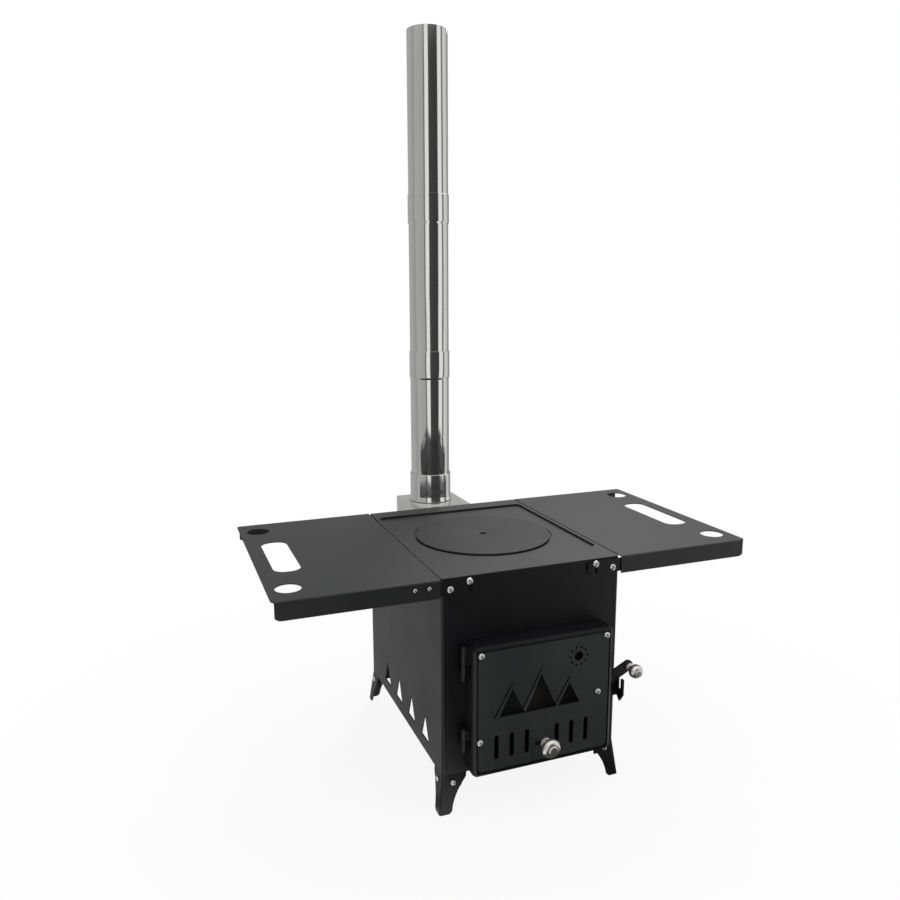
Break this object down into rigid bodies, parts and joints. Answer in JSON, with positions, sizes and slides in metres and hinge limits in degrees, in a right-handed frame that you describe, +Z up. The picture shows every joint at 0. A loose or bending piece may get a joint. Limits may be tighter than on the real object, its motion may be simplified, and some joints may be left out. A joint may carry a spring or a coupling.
{
  "type": "tent wood stove",
  "caption": "Box wood stove of folded steel on splayed legs, with fold-down side shelves, lift-out cooking plate, latched door with air slide and a sectional flue pipe.",
  "frame": {"origin": "middle of the bounding box at ground level", "axes": "+Z up along the flue pipe, +X to the stove's right seen from the front, +Y to its back; the door faces -Y"},
  "size_m": [0.619, 0.4524, 0.989],
  "materials": {
    "black_steel": "satin black heat-proof powder coat",
    "top_steel": "matt black heat-proof powder coat",
    "inner_steel": "matt dark steel",
    "stainless": "polished stainless steel",
    "knob_metal": "polished",
    "screw_metal": "bright zinc plate"
  },
  "bodies": {
    "stove_body": {"right_side_panel": "black_steel", "left_side_panel": "black_steel", "front_panel": "black_steel", "back_panel": "black_steel", "leg_front_left": "black_steel", "leg_back_left": "black_steel", "leg_front_right": "black_steel", "leg_back_right": "black_steel", "door_frame": "black_steel", "hinge_pin_upper": "black_steel", "hinge_pin_lower": "black_steel", "latch_keeper": "black_steel", "top_plate": "top_steel", "firebox_floor": "inner_steel", "fire_grate": "inner_steel", "leg_bracket_front_left": "inner_steel", "leg_bracket_back_left": "inner_steel", "leg_bracket_front_right": "inner_steel", "leg_bracket_back_right": "inner_steel", "flue_box": "stainless", "flue_collar": "stainless", "leg_face_screw_front_left": "screw_metal", "leg_side_screw_front_left": "screw_metal", "shelf_pivot_screw_front_left": "screw_metal", "shelf_clamp_screw_front_left": "screw_metal", "leg_face_screw_back_left": "screw_metal", "leg_side_screw_back_left": "screw_metal", "shelf_pivot_screw_back_left": "screw_metal", "shelf_clamp_screw_back_left": "screw_metal", "leg_face_screw_front_right": "screw_metal", "leg_side_screw_front_right": "screw_metal", "shelf_pivot_screw_front_right": "screw_metal", "shelf_clamp_screw_front_right": "screw_metal", "leg_face_screw_back_right": "screw_metal", "leg_side_screw_back_right": "screw_metal", "shelf_pivot_screw_back_right": "screw_metal", "shelf_clamp_screw_back_right": "screw_metal"},
    "cook_plate": {"cook_plate": "top_steel"},
    "chimney_lower": {"chimney_lower": "stainless"},
    "chimney_middle": {"chimney_middle": "stainless"},
    "chimney_upper": {"chimney_upper": "stainless"},
    "left_shelf": {"left_shelf": "top_steel", "shelf_arm_front_left": "black_steel", "shelf_arm_back_left": "black_steel"},
    "right_shelf": {"right_shelf": "top_steel", "shelf_arm_front_right": "black_steel", "shelf_arm_back_right": "black_steel"},
    "door": {"door_pan": "black_steel", "door_plate": "black_steel", "door_liner": "inner_steel", "door_screw_top_left": "screw_metal", "door_screw_top_right": "screw_metal", "door_screw_bottom_left": "screw_metal", "latch_screw": "screw_metal"},
    "air_inlet": {"air_slide": "inner_steel", "air_knob": "knob_metal", "air_knob_nut": "screw_metal"},
    "latch": {"latch_lever": "black_steel", "latch_knob": "knob_metal"}
  },
  "joints": [
    {"name": "left_shelf_fold", "type": "hinge", "parent": "stove_body", "child": "left_shelf", "pos_m": [-0.1075, -0.0241, 0.2818], "axis": [0, -1, 0], "range_deg": [0, 90]},
    {"name": "right_shelf_fold", "type": "hinge", "parent": "stove_body", "child": "right_shelf", "pos_m": [0.1075, -0.0241, 0.2818], "axis": [0, 1, 0], "range_deg": [0, 90]},
    {"name": "door_swing", "type": "hinge", "parent": "stove_body", "child": "door", "pos_m": [-0.094, -0.1871, 0.145], "axis": [0, 0, -1], "range_deg": [0, 120]},
    {"name": "latch_turn", "type": "hinge", "parent": "door", "child": "latch", "pos_m": [0.0775, -0.1936, 0.133], "axis": [0, 1, 0], "range_deg": [0, 25]},
    {"name": "air_slide_travel", "type": "slide", "parent": "door", "child": "air_inlet", "axis": [1, 0, 0], "range_m": [-0.01, 0]},
    {"name": "cook_plate_lift", "type": "slide", "parent": "stove_body", "child": "cook_plate", "axis": [0, 0, 1], "range_m": [0, 0.03]},
    {"name": "chimney_lower_lift", "type": "slide", "parent": "stove_body", "child": "chimney_lower", "axis": [0, 0, 1], "range_m": [0, 0.035]},
    {"name": "chimney_middle_lift", "type": "slide", "parent": "chimney_lower", "child": "chimney_middle", "axis": [0, 0, 1], "range_m": [0, 0.04]},
    {"name": "chimney_upper_lift", "type": "slide", "parent": "chimney_middle", "child": "chimney_upper", "axis": [0, 0, 1], "range_m": [0, 0.04]}
  ]
}
